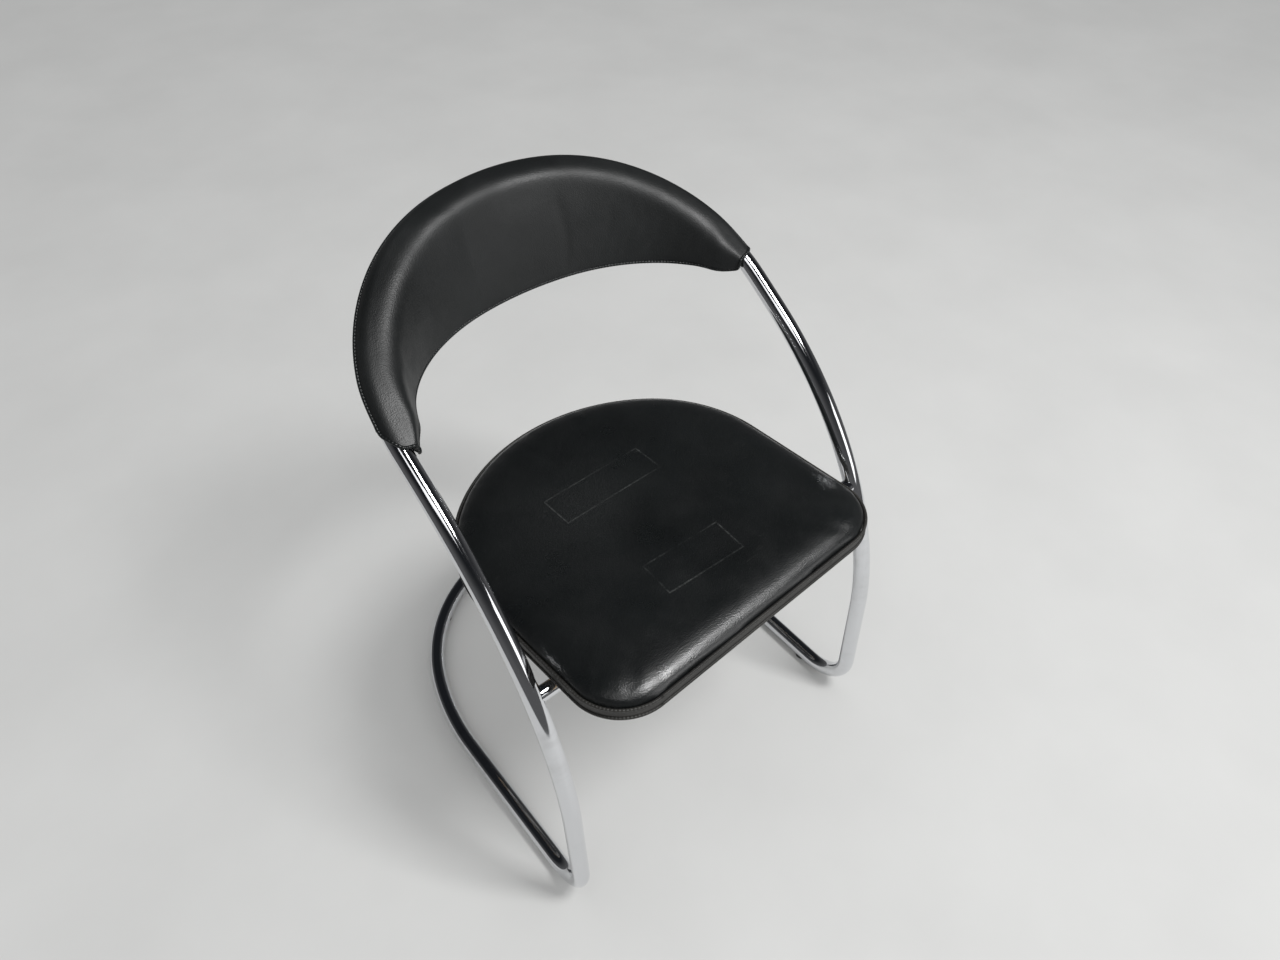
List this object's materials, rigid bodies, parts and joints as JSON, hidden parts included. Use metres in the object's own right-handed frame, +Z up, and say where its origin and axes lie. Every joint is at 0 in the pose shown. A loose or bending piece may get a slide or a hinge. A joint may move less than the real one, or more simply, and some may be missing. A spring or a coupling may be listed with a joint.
{
  "type": "cantilever chair",
  "caption": "Armless cantilever chair of bent chromed tube with a padded black leather seat and a leather-covered hoop backrest.",
  "frame": {"origin": "on the floor, under the middle of the overall box", "axes": "+Z up, -Y the way the chair faces, +X the sitter's left"},
  "size_m": [0.5646, 0.6347, 0.8045],
  "materials": {
    "frame_chrome": "polished chromium plate on steel tube",
    "bare_steel": "mill finish",
    "zinc_steel": "zinc plated",
    "black_nylon": "moulded",
    "black_leather": "fine grain with a satin sheen",
    "worn_leather": "rubbed brownish grey along the edge",
    "foam": "open-cell foam",
    "plywood": "birch plywood",
    "shell_plastic": "moulded sheet",
    "dust_cloth": "non-woven cloth"
  },
  "bodies": {
    "root": {"back_foam": "foam", "back_hoop": "frame_chrome", "back_inner_leather": "black_leather", "back_outer_leather": "black_leather", "back_shell": "shell_plastic", "back_welt": "black_leather", "base_tube": "frame_chrome", "dust_cover_staples": "zinc_steel", "glide_front_left": "black_nylon", "glide_front_right": "black_nylon", "glide_rear_left": "black_nylon", "glide_rear_right": "black_nylon", "hoop_padding": "foam", "hoop_spigot_left": "bare_steel", "hoop_spigot_right": "bare_steel", "hoop_tab_left": "bare_steel", "hoop_tab_middle": "bare_steel", "hoop_tab_right": "bare_steel", "rail_spigot_left": "bare_steel", "rail_spigot_right": "bare_steel", "seat_board": "plywood", "seat_cover": "black_leather", "seat_dust_cover": "dust_cloth", "seat_edge_band": "worn_leather", "seat_foam": "foam", "seat_lower_welt": "worn_leather", "seat_screws": "zinc_steel", "seat_strap_front": "frame_chrome", "seat_strap_rear": "frame_chrome", "seat_support": "frame_chrome", "seat_t_nuts": "zinc_steel", "seat_upper_welt": "black_leather", "seat_washers": "zinc_steel", "side_tube_left": "frame_chrome", "side_tube_right": "frame_chrome", "tab_screws": "zinc_steel"}
  },
  "joints": []
}
